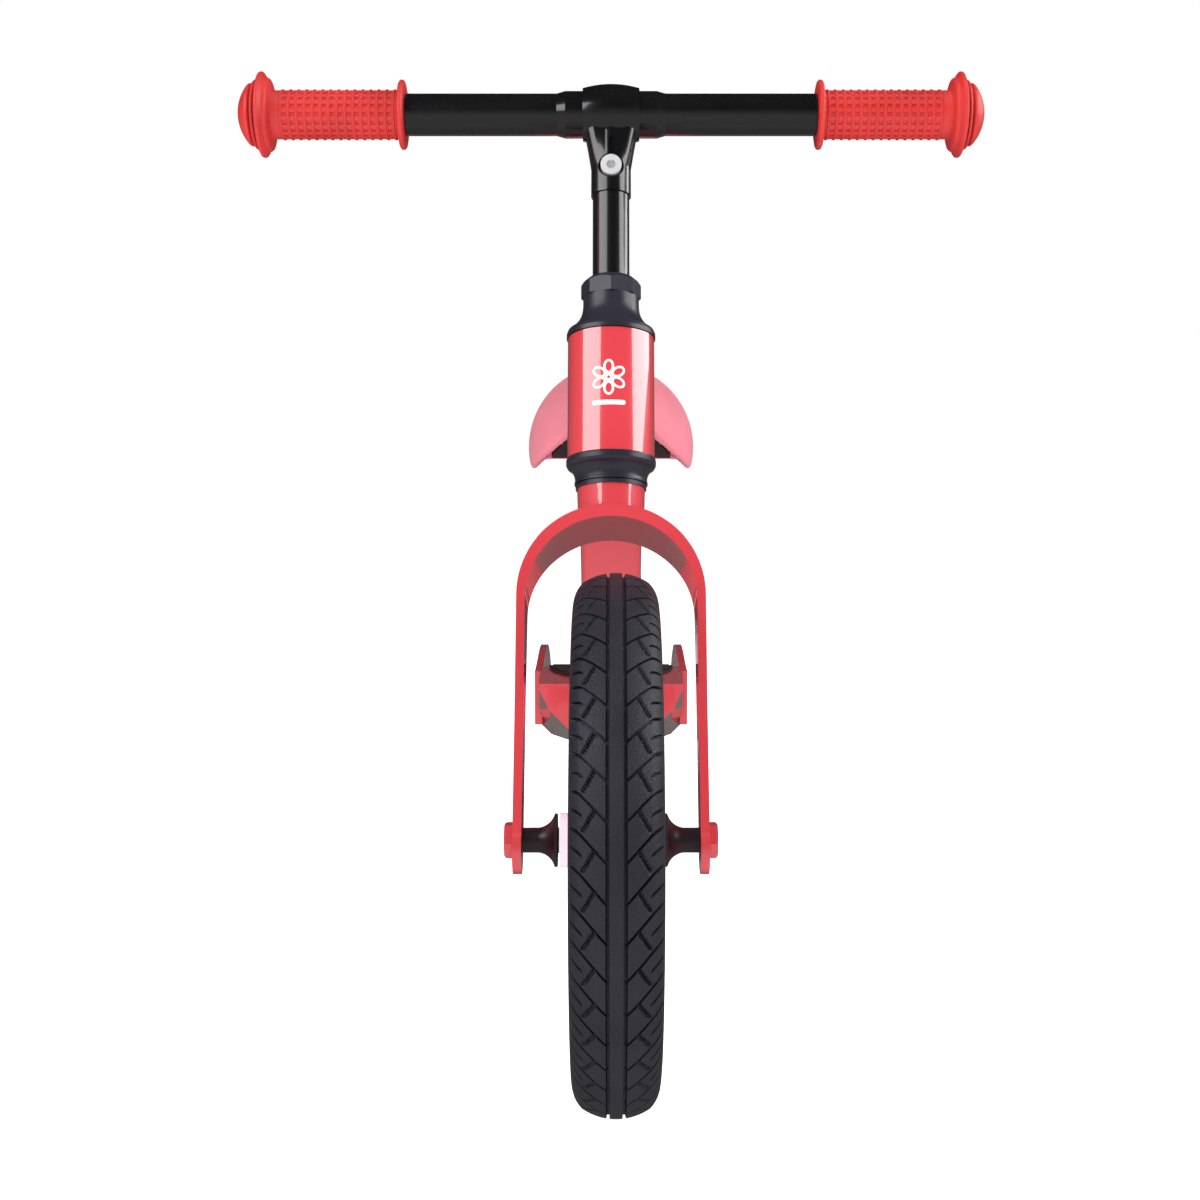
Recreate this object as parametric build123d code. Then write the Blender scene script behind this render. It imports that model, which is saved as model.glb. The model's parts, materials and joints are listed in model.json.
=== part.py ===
from build123d import *
import os
from math import cos, hypot, radians, sin

# A child's balance bike. Millimetres, Z up, the bike faces -Y and is symmetric about X = 0, with
# the rider's left at +X. The origin is on the ground, midway between the two wheel centres.

# ---- driving dimensions ----
WHEEL_R = 140.0
WHEELBASE = 570.0
TYRE_WIDTH = 44.0
RIM_SEAT_R = 101.5
HEAD_TILT = 14.0        # steering axis, degrees back from vertical
FORK_TILT = 22.5        # fork legs, degrees back from vertical
FORK_HEIGHT = 182.0     # front axle to the top of the fork arch, along the legs
FORK_HALF_WIDTH = 51.2
STRIP = 4.7             # thickness of the fork strip
CROWN_STRIP = 7.3        # and at the crown
STRIP_WIDTH = 25.0      # width of the fork strip, from front to back
CROWN_WIDTH = 39.0      # and at the crown, where the neck stands on it
SEAT_TILT = 16.0
SEAT_FOOT = (100.0, 186.0)      # Y, Z where the seat tube meets the deck
SEAT_TUBE_TOP = 112.0           # along the seat tube, from the deck
BAR_R = 12.0
BAR_HALF_LENGTH = 213.0
GRIP_END = 217.0
AXLE_R = 5.0
HUB_R = 14.2
HUB_HALF = 26.8
STEM_R = 10.55
STEERER_R = 12.7
SLIDING_FIT = 0.05      # radial clearance of a tube that slides in another
RUNNING_GAP = 0.3       # between pieces that turn past each other
HIDDEN_FIT = 0.02       # between pieces of one body that are pressed or screwed together

# Heights along the steering axis, from the top of the fork arch.
NECK_TOP = 14.9
LOWER_BALLS = 21.3
HEAD_LOW = 32.2
HEAD_HIGH = 102.4
UPPER_BALLS = HEAD_HIGH - 2.2
COVER_TOP = 127.0
NUT_SHOULDER = 134.6
NUT_TOP = 138.4
STEERER_TOP = NUT_TOP - 5.4
SLEEVE_LOW = 188.8
STEM_TOP = 193.6
CLAMP_BOLT = 203.7
BAR_CENTRE = 239.5

HEAD_TUBE_R = 24.5
HEAD_BORE_R = 21.5
NECK_R = 19.0
BAR_CENTRE_R = 13.4     # the bar's swaged middle
BALL_R = 2.38
RACE_R = BALL_R + RUNNING_GAP
UPPER_BALL_R = 17.0     # pitch radius of the upper and lower balls
LOWER_BALL_R = 16.0

# Wheels
RIM_HALF = 13.5
RIM_OFFSET = 2.5        # the rim and tyre sit this far to the left of the hub's middle
BEARING_R = 11.0
BEARING_WIDTH = 6.0
RACE_END = HUB_HALF + RUNNING_GAP

# Deck, stays, beam and seat. A point of the beam's outline is (Y, Z), from the head tube to the deck.
DECK_TOP = SEAT_FOOT[1]
DECK_FRONT_Y = 19.0
DECK_BACK_Y = 130.0
STAY_INNER = 51.6
STAY_OUTER = 57.0
BEAM_HALF_WIDTH = 19.0
BEAM_WALL = 3.0
BEAM_UNDER = [(-194, 343), (-135, 302), (-75, 243), (-25, 185), (26, 152)]
BEAM_OVER = [(-180, 396), (-114, 366), (-50, 307), (4, 238), (46, 190)]
SEAT_OUTER_R = 15.9
POST_R = 12.7
SOCKET_LOW = 150.0      # lower end of the saddle's socket, along the seat tube

# The saddle from nose to tail: Y, half width at the skirt, height of the top, height of the skirt.
SADDLE_STATIONS = [
    (36.0, 13.0, 387.0, 375.0),
    (62.0, 27.0, 396.0, 370.0),
    (105.0, 40.0, 400.0, 358.0),
    (150.0, 56.0, 411.0, 344.0),
    (192.0, 63.0, 420.0, 337.0),
    (226.0, 57.0, 420.0, 344.0),
    (248.0, 36.0, 409.0, 366.0),
]


def tilted(y, z, degrees):
    """A frame at (0, y, z) whose Z axis leans back by this angle. Its -Y side faces forwards and up."""
    lean = radians(degrees)
    return Plane(origin=(0, y, z), x_dir=(1, 0, 0), z_dir=(0, sin(lean), cos(lean))).location


def across(y, z):
    """A frame at (0, y, z) whose Z axis runs along the axle, towards +X."""
    return Plane(origin=(0, y, z), x_dir=(0, 1, 0), z_dir=(1, 0, 0)).location


FRONT_Y = -WHEELBASE / 2
REAR_Y = WHEELBASE / 2
FORK = tilted(FRONT_Y, WHEEL_R, FORK_TILT)
CROWN_Y = FRONT_Y + FORK_HEIGHT * sin(radians(FORK_TILT))
CROWN_Z = WHEEL_R + FORK_HEIGHT * cos(radians(FORK_TILT))
STEER = tilted(CROWN_Y, CROWN_Z, HEAD_TILT)
SEAT = tilted(SEAT_FOOT[0], SEAT_FOOT[1], SEAT_TILT)
FRONT_WHEEL = across(FRONT_Y, WHEEL_R)
REAR_WHEEL = across(REAR_Y, WHEEL_R)
BAR = STEER * Plane(origin=(0, 0, BAR_CENTRE), x_dir=(0, 1, 0), z_dir=(1, 0, 0)).location


def save(name, *solids):
    """Writes one node: a single solid, or a group of separate ones."""
    shape = solids[0] if len(solids) == 1 else Compound(children=list(solids))
    export_step(shape, f"parts/{name}.step")


def lathe(where, *outline):
    """Turns a closed outline about the frame's Z axis. A point is (radius, height); a triple of
    numbers (radius, height, "arc") is the middle of an arc to the point that follows it."""
    edges = []
    count = len(outline)
    i = 0
    while i < count:
        start, follow = outline[i], outline[(i + 1) % count]
        if len(follow) == 3:
            end = outline[(i + 2) % count]
            middle = (follow[0], 0, follow[1])
            edges.append(ThreePointArc((start[0], 0, start[1]), middle, (end[0], 0, end[1])))
            i += 2
        else:
            edges.append(Line((start[0], 0, start[1]), (follow[0], 0, follow[1])))
            i += 1
    return where * revolve(make_face(edges), Axis.Z)


def dome(radius, low, high):
    """The rest of a round cap that starts at (radius, low): an arc whose centre is on the axis."""
    rise = high - low
    ball_r = (radius ** 2 + rise ** 2) / (2 * rise)
    middle_r = radius / 2
    middle = high - ball_r + (ball_r ** 2 - middle_r ** 2) ** 0.5
    return (middle_r, middle, "arc"), (0, high)


def ring(where, outer, inner, low, high):
    return lathe(where, (inner, low), (outer, low), (outer, high), (inner, high))


def rod(where, radius, low, high):
    return where * Pos(0, 0, low) * Cylinder(radius, high - low, align=(Align.CENTER, Align.CENTER, Align.MIN))


def prism(where, sides, across_flats, low, high):
    """A hexagon or octagon bar along the frame's Z axis."""
    corner_r = across_flats / 2 / cos(radians(180 / sides))
    return where * Pos(0, 0, low) * extrude(RegularPolygon(corner_r, sides), high - low)


def ball_ring(where, count, pitch_r, ball_r, height):
    turns = [Rot(0, 0, 360 * i / count) for i in range(count)]
    return [where * turn * Pos(pitch_r, 0, height) * Sphere(ball_r) for turn in turns]


def mirrored(shape):
    return mirror(shape, Plane.YZ)


# ---- frame ----
def head_tube():
    return ring(STEER, HEAD_TUBE_R, HEAD_BORE_R, HEAD_LOW, HEAD_HIGH)


def deck_section(y, points):
    """One cross-section of the deck, from its left half's points (x, height above the top)."""
    left = [(x, y, DECK_TOP + z) for x, z in points]
    right = [(-x, y, z) for x, y, z in reversed(left)]
    return make_face(Polyline(*left, *right, close=True))


def deck_hull():
    """The deck's outside: a flat top, and sides that fold in under it, deeper towards the back."""
    front = [(50.6, 0), (50.6, -4), (43, -19), (30, -32), (12, -38)]
    back = [(54, 0), (54, -44), (46, -52), (34.6, -56), (12, -58)]
    return loft([deck_section(DECK_FRONT_Y, front), deck_section(DECK_BACK_Y, back)], ruled=True)


def deck_pocket():
    """The space inside the deck, open along the middle of its belly."""
    front = [(47.2, -3.2), (47.2, -4), (40.2, -17.5), (28.6, -29), (11, -70)]
    back = [(50.8, -3.2), (50.8, -42.6), (44.6, -49), (33.6, -52.8), (30, -90)]
    rim = 3.2
    return loft([deck_section(DECK_FRONT_Y + rim, front), deck_section(DECK_BACK_Y - rim, back)], ruled=True)


def footrest():
    """The low platform: sloped sides and belly, hollow from below, with the seat tube's socket."""
    hull = deck_hull()
    boss = rod(SEAT, SEAT_OUTER_R + 3, -38, 0)
    shell = hull - deck_pocket() + (boss & hull)
    return shell - rod(SEAT, SEAT_OUTER_R + HIDDEN_FIT, -70, 10)


def seat_tube():
    return ring(SEAT, SEAT_OUTER_R, POST_R + SLIDING_FIT, -38, SEAT_TUBE_TOP)


# The beam's lower and upper edges, (Y, Z) from the head tube to the deck, as pairs across its depth.


def beam_side(inset):
    """The beam's side outline, moved in from both edges by this much."""
    under, over = [], []
    for (y0, z0), (y1, z1) in zip(BEAM_UNDER, BEAM_OVER):
        share = inset / hypot(y1 - y0, z1 - z0)
        dy, dz = share * (y1 - y0), share * (z1 - z0)
        under.append((0, y0 + dy, z0 + dz))
        over.append((0, y1 - dy, z1 - dz))
    low, high = Spline(*under), Spline(*over)
    return make_face([low, high, Line(under[0], over[0]), Line(under[-1], over[-1])])


def main_beam():
    """The hollow, flat-sided beam that sweeps from the head tube down to the front of the deck."""
    slab = extrude(beam_side(0), BEAM_HALF_WIDTH, both=True)
    slab = fillet(slab.edges().filter_by(GeomType.BSPLINE), 8)
    hollow = extrude(beam_side(BEAM_WALL), BEAM_HALF_WIDTH - BEAM_WALL, both=True)
    return slab - hollow - rod(STEER, HEAD_TUBE_R, 0, 150) - deck_hull() - rod(SEAT, SEAT_OUTER_R, -60, 80)


def rear_stay():
    """The left-hand stay: a tall, thin plate from the side of the deck to the axle's eye."""
    top = Spline((0, 98, 186), (0, 160, 192), (0, 225, 194), (0, 268, 182))
    eye = ThreePointArc((0, 268, 182), (0, 299, 155), (0, 301, 131))
    heel = ThreePointArc((0, 301, 131), (0, 288, 122.6), (0, 272, 124))
    under = Spline((0, 272, 124), (0, 225, 131), (0, 160, 138), (0, 98, 146))
    front = Line((0, 98, 146), (0, 98, 186))
    plate = extrude(make_face([top, eye, heel, under, front]), STAY_OUTER - STAY_INNER, dir=(1, 0, 0))
    plate = Pos(STAY_INNER, 0, 0) * plate
    window = Pos(STAY_INNER - 1, 192, 163) * Rot(0, 90, 0) * Rot(0, 0, 90)
    window = window * extrude(SlotOverall(80, 24), 10)
    bore = rod(REAR_WHEEL, AXLE_R + 0.1, 0, 80)
    return plate - window - bore - deck_hull()


def foot_pad():
    """The left-hand half of the oval anti-slip pad, cut clear of the seat tube."""
    oval = Pos(0, 128, DECK_TOP) * extrude(Ellipse(47, 84), 3)
    keep = Pos(33, 84, DECK_TOP) * Box(30, 88, 20)
    pad = oval & keep
    return pad - rod(SEAT, SEAT_OUTER_R + 1, -20, 40)


def seat_collar():
    """The split clamp at the top of the seat tube, with two ears at the back."""
    low, high = SEAT_TUBE_TOP - 10, SEAT_TUBE_TOP + 4
    body = ring(SEAT, 19.4, SEAT_OUTER_R + HIDDEN_FIT, low, SEAT_TUBE_TOP)
    lip = ring(SEAT, 19.4, POST_R + 0.35, SEAT_TUBE_TOP, high)
    ears = SEAT * Pos(0, 23.5, (low + high) / 2) * Box(15, 12, high - low)
    ears = ears - rod(SEAT, 19, low - 1, high + 1)
    slit = SEAT * Pos(0, 23, (low + high) / 2) * Box(2.4, 16, 20)
    bolt_hole = SEAT * Pos(0, 25, (low + high) / 2) * Rot(0, 90, 0) * Cylinder(2.6, 40)
    return body + lip + ears - slit - bolt_hole


def seat_bolt():
    middle = SEAT * Pos(0, 25, SEAT_TUBE_TOP - 3)
    line = middle * Rot(0, 90, 0)
    shank = rod(line, 2.5, -9, 8)
    head = rod(line, 4.5, 7.55, 12.3) - prism(line, 6, 4, 9.8, 13)
    nut = prism(line, 6, 8, -11.6, -7.55)
    return shank + head + nut


# ---- head bearings ----


def groove(pitch_r, height):
    return STEER * Pos(0, 0, height) * Torus(pitch_r, RACE_R)


def upper_cup():
    """Pressed into the top of the head tube; the balls run in its groove."""
    low, ledge, high = HEAD_HIGH - 14.6, HEAD_HIGH - 3.0, HEAD_HIGH - 0.2
    outer, inner = HEAD_BORE_R - HIDDEN_FIT, STEERER_R + 0.6
    cup = lathe(STEER, (inner, low), (outer, low), (outer, high), (20.6, high), (20.6, ledge), (inner, ledge))
    return cup - groove(UPPER_BALL_R, UPPER_BALLS)


def upper_cone():
    """Screwed on the steerer; it presses down on the upper balls."""
    bore = STEERER_R + HIDDEN_FIT
    low, shoulder, high = HEAD_HIGH - 1.4, HEAD_HIGH + 2.9, HEAD_HIGH + 7.4
    cone = lathe(STEER, (bore, low), (20.0, low), (20.0, shoulder), (bore, high))
    return cone - groove(UPPER_BALL_R, UPPER_BALLS)


def headset_cover():
    """The waisted satin cover over the upper bearing: a wide skirt, a shoulder and a straight neck."""
    skirt = STEER * Pos(0, 0, HEAD_HIGH)
    neck_top = COVER_TOP - HEAD_HIGH
    bore = STEERER_R + HIDDEN_FIT
    return lathe(skirt, (20.6, 0.4), (25.2, 0.4), (25.2, 2.8), (24.4, 4.8), (22.6, 6.0),
                 (20.9, 7.6), (17.9, 11.6, "arc"), (16.1, 17.6), (15.9, 19.6), (15.9, neck_top),
                 (bore, neck_top), (bore, 11.4), (20.6, 4.4))


def lower_cup():
    """Pressed into the bottom of the head tube: a rolled lip and a waisted bowl that hides the balls."""
    cup = lathe(STEER, (HEAD_BORE_R - HIDDEN_FIT, 44), (HEAD_BORE_R - HIDDEN_FIT, HEAD_LOW - HIDDEN_FIT),
                (24.9, HEAD_LOW - HIDDEN_FIT), (25.2, 31.4), (25.2, 28.8), (24.4, 27.2), (22.8, 26.2),
                (21.0, 23.6, "arc"), (20.2, 19.6), (20.5, 18.6), (20.5, 17.6), (18.9, 17.6), (18.9, 22.4),
                (STEERER_R + 0.6, 22.4), (STEERER_R + 0.6, 34), (18.5, 40), (18.5, 44))
    return cup - groove(LOWER_BALL_R, LOWER_BALLS)


def crown_race():
    race = lathe(STEER, (STEERER_R + HIDDEN_FIT, NECK_TOP), (19.8, NECK_TOP), (19.8, 17.2), (18.3, 17.2),
                 (18.3, 20.2), (STEERER_R + HIDDEN_FIT, 20.2))
    return race - groove(LOWER_BALL_R, LOWER_BALLS)


# ---- fork and steerer ----
def fork_arch():
    """A flat strip bent into an arch: two straight legs and a half round, thicker at the crown."""
    outer, inner = FORK_HALF_WIDTH, FORK_HALF_WIDTH - STRIP
    outer_spring = FORK_HEIGHT - outer
    inner_spring = FORK_HEIGHT - CROWN_STRIP - inner
    foot = -17.8
    edges = [
        Line((-outer, 0, foot), (-outer, 0, outer_spring)),
        ThreePointArc((-outer, 0, outer_spring), (0, 0, FORK_HEIGHT), (outer, 0, outer_spring)),
        Line((outer, 0, outer_spring), (outer, 0, foot)),
        Line((outer, 0, foot), (inner, 0, foot)),
        Line((inner, 0, foot), (inner, 0, inner_spring)),
        ThreePointArc((inner, 0, inner_spring), (0, 0, inner_spring + inner), (-inner, 0, inner_spring)),
        Line((-inner, 0, inner_spring), (-inner, 0, foot)),
        Line((-inner, 0, foot), (-outer, 0, foot)),
    ]
    strip = extrude(make_face(edges), CROWN_WIDTH / 2, both=True)
    leg, crown = STRIP_WIDTH / 2, CROWN_WIDTH / 2
    eye_r = leg + 1.2
    eye = Pos(0, 0, foot + eye_r) * Rot(0, 90, 0) * Cylinder(eye_r, 2 * outer)
    side = [(0, -leg, foot + eye_r), (0, -leg, 70), (0, -crown, 165), (0, -crown, 200),
            (0, crown, 200), (0, crown, 165), (0, leg, 70), (0, leg, foot + eye_r)]
    above = extrude(make_face(Polyline(*side, close=True)), outer + 1, both=True)
    return strip & (eye + above)


def fork():
    arch = FORK * fork_arch()
    neck_end = NECK_TOP - HIDDEN_FIT
    neck = lathe(STEER, (0, -7), (12, -7), (NECK_R - 0.6, -1.5), (NECK_R, neck_end), (0, neck_end))
    inside = FORK * Pos(0, 0, 80) * Box(2 * (FORK_HALF_WIDTH - STRIP) - 1, 60, 190)
    seat = rod(STEER, STEERER_R + HIDDEN_FIT, 0, 40)
    bore = rod(FRONT_WHEEL, AXLE_R + 0.1, -80, 80)
    return arch + (neck - inside) - seat - bore


def steerer_tube():
    return ring(STEER, STEERER_R, STEM_R + SLIDING_FIT, 0.02, STEERER_TOP)


def height_nut():
    """The eight-sided nut with a coned top that squeezes the collet on the stem tube."""
    blank = prism(STEER, 8, 31.6, COVER_TOP + HIDDEN_FIT, NUT_TOP)
    cone = lathe(STEER, (STEERER_R + HIDDEN_FIT, COVER_TOP), (17.3, COVER_TOP), (17.3, NUT_SHOULDER),
                 (13.0, NUT_TOP), (STEM_R + 0.1, NUT_TOP), (STEM_R + 0.1, NUT_TOP - 1.2),
                 (STEERER_R + HIDDEN_FIT, NUT_TOP - 2.6))
    return blank & cone


def collet():
    """A split tapered bush between the nut's cone and the stem tube."""
    bush = lathe(STEER, (STEM_R + SLIDING_FIT, STEERER_TOP + 0.05), (12.5, STEERER_TOP + 0.05),
                 (12.5, NUT_TOP - 3.0), (11.2, NUT_TOP - 1.7), (STEM_R + SLIDING_FIT, NUT_TOP - 1.7))
    slit = STEER * Pos(0, 12, NUT_TOP - 3.4) * Box(1.2, 8, 10)
    return bush - slit


# ---- handlebar ----


def stem_tube():
    return ring(STEER, STEM_R, 8.6, 55, STEM_TOP)


def bar_clamp():
    """The T: a crowned barrel round the handlebar, a neck that narrows to a sleeve on the stem tube,
    a slit that lets the bolt pull the barrel tight, and a pocket in front for the bolt's head."""
    barrel = lathe(BAR, (0, -16.4), (15.0, -16.4), (17.3, 0, "arc"), (15.0, 16.4), (0, 16.4))
    sleeve = rod(STEER, 11.5, SLEEVE_LOW, BAR_CENTRE - 14)
    lower = Plane(STEER * Pos(0, 0, CLAMP_BOLT + 1)) * Ellipse(11.4, 11.4)
    upper = Plane(STEER * Pos(0, 0, BAR_CENTRE - 12)) * RectangleRounded(30, 22, 6)
    throat = loft([Sketch() + lower, Sketch() + upper])
    spigot = rod(STEER, 8.6 - HIDDEN_FIT, STEM_TOP - 25, STEM_TOP + 6)
    socket = ring(STEER, STEM_R + HIDDEN_FIT, 8.6 - HIDDEN_FIT, SLEEVE_LOW - 1, STEM_TOP + HIDDEN_FIT)
    body = barrel + sleeve + throat + spigot - socket
    body = body - rod(BAR, BAR_CENTRE_R + HIDDEN_FIT, -20, 20)
    slit = STEER * Pos(0, 0, BAR_CENTRE - 27.5) * Box(50, 1.8, 32)
    bolt_line = bolt_axis()
    pocket = rod(bolt_line, 7.4, 6.5, 30)
    groove_cut = STEER * Pos(0, -13, BAR_CENTRE - 26.5) * Box(3, 8, 16)
    return body - slit - rod(bolt_line, 3.1, -9, 30) - pocket - groove_cut


def bolt_axis():
    """Along the clamp bolt, Z pointing forwards out of its head."""
    return STEER * Plane(origin=(0, 0, CLAMP_BOLT), x_dir=(1, 0, 0), z_dir=(0, -1, 0)).location


def clamp_bolt():
    line = bolt_axis()
    shank = rod(line, 3.0, -8, 6.6)
    head = rod(line, 6.0, 6.55, 12.2)
    head = head - prism(line, 6, 5, 9.2, 14)
    return shank + head


def handlebar_tube():
    """A straight tube whose middle is swaged up to fill the clamp."""
    wall = 1.6
    end = BAR_HALF_LENGTH
    return lathe(BAR, (BAR_R, -end), (BAR_R, -31.5), (BAR_CENTRE_R, -26.5), (BAR_CENTRE_R, 26.5), (BAR_R, 31.5),
                 (BAR_R, end), (BAR_R - wall, end), (BAR_R - wall, 31.5), (BAR_CENTRE_R - wall, 26.5),
                 (BAR_CENTRE_R - wall, -26.5), (BAR_R - wall, -31.5), (BAR_R - wall, -end))


def grip():
    """The left grip: inner flange, straight hold, wide safety flange, two steps and a domed end."""
    bore = BAR_R + HIDDEN_FIT
    stop = BAR_HALF_LENGTH + 0.2
    return lathe(BAR, (bore, 119.5), (18.0, 119.5), (19.8, 120.4), (19.8, 122.2), (18.4, 123.2), (14.2, 124.0),
                 (14.2, 196.4), (18.6, 197.4), (20.9, 198.4), (20.9, 200.2), (22.8, 200.8), (24.2, 201.8),
                 (24.2, 203.4), (22.8, 204.4), (19.4, 204.8), (19.4, 207.2), (17.9, 208.0), (17.3, 210.6),
                 *dome(17.3, 210.6, GRIP_END), (0, stop), (bore, stop))


# ---- wheels ----


def wheel(where):
    """One casting: rim, five pairs of spokes and hub."""
    rim_middle = where * Pos(0, 0, RIM_OFFSET)
    rim = lathe(rim_middle, (RIM_SEAT_R, -RIM_HALF + 2), (RIM_SEAT_R + 3, -RIM_HALF + 1), (RIM_SEAT_R + 3, -RIM_HALF),
                (91.5, -RIM_HALF), (89, -RIM_HALF + 2.5), (88, 0, "arc"), (89, RIM_HALF - 2.5), (91.5, RIM_HALF),
                (RIM_SEAT_R + 3, RIM_HALF), (RIM_SEAT_R + 3, RIM_HALF - 1), (RIM_SEAT_R, RIM_HALF - 2))
    flange = lathe(where, (9.2, -7), (22, -5.5), (22, 5.5), (9.2, 7))
    hub = ring(where, HUB_R, 9.2, -HUB_HALF, HUB_HALF)
    spoke = loft([Plane(origin=(0, 12, 0), z_dir=(0, 1, 0)) * RectangleRounded(12, 10, 3),
                  Plane(origin=(0, 91, RIM_OFFSET), z_dir=(0, 1, 0)) * RectangleRounded(9, 9, 3)])
    casting = rim + flange + hub
    for pair in range(5):
        for side in (-1, 1):
            root = Rot(0, 0, 72 * pair + side * 14)
            fan = Pos(0, 12, 0) * Rot(0, 0, side * 6) * Pos(0, -12, 0)
            casting += where * root * fan * spoke
    seats = rod(where, BEARING_R, HUB_HALF - BEARING_WIDTH, 40) + rod(where, BEARING_R, -40, BEARING_WIDTH - HUB_HALF)
    return casting - seats - rod(where, 9.2, -30, 30)


def tyre(where):
    """A solid tyre: narrow at the rim, full at the shoulders, gently round across the tread."""
    half = TYRE_WIDTH / 2
    seat = RIM_SEAT_R + HIDDEN_FIT
    bead = RIM_HALF - 2.1
    side = [(seat, bead), (seat + 3.2, bead), (111, half - 2.6, "arc"), (119, half - 0.3),
            (128, half - 0.6, "arc"), (135, half - 5.0)]
    far_side = [(r, -x, *arc) for r, x, *arc in side]
    return lathe(where * Pos(0, 0, RIM_OFFSET), *far_side, (WHEEL_R, 0, "arc"), *reversed(side))


def pair(make):
    """A piece at the left end of an axle and its twin at the right."""
    left = make()
    return [left, mirrored(left)]


def outer_races(where):
    return pair(lambda: ring(where, BEARING_R - HIDDEN_FIT, 9.6, HUB_HALF - BEARING_WIDTH + HIDDEN_FIT, HUB_HALF))


def inner_races(where):
    return pair(lambda: ring(where, 6.8, AXLE_R + HIDDEN_FIT, HUB_HALF - BEARING_WIDTH, RACE_END))


def wheel_balls(where):
    middle = HUB_HALF - BEARING_WIDTH / 2
    return ball_ring(where, 8, 8.35, 1.2, middle) + ball_ring(where, 8, 8.35, 1.2, -middle)


def axle(where, half_length):
    return rod(where, AXLE_R, -half_length, half_length)


def cap_nuts(where, face):
    """Closed hexagon nuts with a chamfered face."""
    def one():
        blank = prism(where, 6, 17.3, face, face + 4.6)
        turned = lathe(where, (0, face), (10.2, face), (10.2, face + 3.2), (8.3, face + 4.6), (0, face + 4.6))
        return (blank & turned) - rod(where, AXLE_R + HIDDEN_FIT, face - 1, face + 3.6)
    return pair(one)


def spacers(where, face):
    """Trumpet-shaped tubes between the bearings and the fork or stays."""
    low = RACE_END + HIDDEN_FIT
    bore = AXLE_R + HIDDEN_FIT

    def one():
        return lathe(where, (bore, low), (6.7, low), (6.7, low + 0.8), (13.9, low + 0.8), (14.0, low + 2.4),
                     (9.2, low + 5.2, "arc"), (6.6, low + 10.5), (6.6, face), (bore, face))
    return pair(one)


# ---- saddle ----


def saddle_form(inset, drop, deeper, trim):
    """The saddle's form between its stations: an arched section on a straight skirt line."""
    sections = []
    stations = SADDLE_STATIONS[trim:len(SADDLE_STATIONS) - trim] if trim else SADDLE_STATIONS
    for y, half, top, skirt in stations:
        w, high, low = half - inset, top - drop, skirt - deeper
        arch = ThreePointArc((-w, y, low), (0, y, high), (w, y, low))
        sections.append(make_face([arch, Line((w, y, low), (-w, y, low))]))
    return loft(sections)


def saddle_cover():
    """The padded top, hollow underneath where the base shell sits."""
    return saddle_form(0, 0, 0, 0) - saddle_form(7.2, 19.2, 12, 1)


def saddle_base():
    """The stiff shell under the padding, with the socket that takes the seat post."""
    shell = saddle_form(16, 22, -9, 2)
    socket = rod(SEAT, 16.5, SOCKET_LOW, 184)
    hollow = Pos(0, 150, 330) * Box(64, 60, 60) - rod(SEAT, 16.5, 140, 200)
    base = shell - hollow + (socket & (Pos(0, 150, 340) * Box(100, 200, 70)))
    return base - rod(SEAT, POST_R + HIDDEN_FIT, 140, 178) - cross_bolt_hole()


def cross_bolt_hole():
    return SEAT * Pos(0, 0, SOCKET_LOW + 7) * Rot(0, 90, 0) * Cylinder(2.6, 60)


def seat_post():
    return ring(SEAT, POST_R, 11.0, 17, 177.9) - cross_bolt_hole()


def saddle_bolt():
    """The cross bolt that holds the saddle's socket to the post, with its nut."""
    line = SEAT * Pos(0, 0, SOCKET_LOW + 7) * Rot(0, 90, 0)
    head = rod(line, 4.8, 16.6, 20.2) - prism(line, 6, 4, 18.2, 21)
    return rod(line, 2.5, -18, 17) + head + prism(line, 6, 8, -20.2, -16.6)


def main():
    os.makedirs("parts", exist_ok=True)
    save("head_tube", head_tube())
    save("main_beam", main_beam())
    save("footrest_deck", footrest())
    save("seat_tube", seat_tube())
    save("rear_stay_left", rear_stay())
    save("rear_stay_right", mirrored(rear_stay()))
    save("foot_pad_left", foot_pad())
    save("foot_pad_right", mirrored(foot_pad()))
    save("seat_collar", seat_collar())
    save("seat_collar_bolt", seat_bolt())

    save("upper_headset_cup", upper_cup())
    save("upper_headset_balls", *ball_ring(STEER, 18, UPPER_BALL_R, BALL_R, UPPER_BALLS))
    save("upper_headset_cone", upper_cone())
    save("headset_cover", headset_cover())
    save("lower_headset_cup", lower_cup())
    save("lower_headset_balls", *ball_ring(STEER, 17, LOWER_BALL_R, BALL_R, LOWER_BALLS))
    save("crown_race", crown_race())

    save("fork", fork())
    save("steerer_tube", steerer_tube())
    save("height_lock_nut", height_nut())
    save("stem_collet", collet())

    save("stem_tube", stem_tube())
    save("handlebar_clamp", bar_clamp())
    save("clamp_bolt", clamp_bolt())
    save("handlebar_tube", handlebar_tube())
    save("grip_left", grip())
    save("grip_right", mirrored(grip()))

    fork_face = FORK_HALF_WIDTH - STRIP - HIDDEN_FIT
    ends = [
        ("front", FRONT_WHEEL, fork_face, FORK_HALF_WIDTH + HIDDEN_FIT),
        ("rear", REAR_WHEEL, STAY_INNER - HIDDEN_FIT, STAY_OUTER + HIDDEN_FIT),
    ]
    for name, where, inner_face, outer_face in ends:
        save(f"{name}_axle", axle(where, outer_face + 3.5))
        save(f"{name}_axle_nuts", *cap_nuts(where, outer_face))
        save(f"{name}_axle_spacers", *spacers(where, inner_face))
        save(f"{name}_bearing_inner_races", *inner_races(where))
        save(f"{name}_bearing_outer_races", *outer_races(where))
        save(f"{name}_bearing_balls", *wheel_balls(where))
        save(f"{name}_wheel", wheel(where))
        save(f"{name}_tyre", tyre(where))

    save("seat_post", seat_post())
    save("saddle_base", saddle_base())
    save("saddle_cover", saddle_cover())
    save("saddle_bolt", saddle_bolt())


main()
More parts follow.
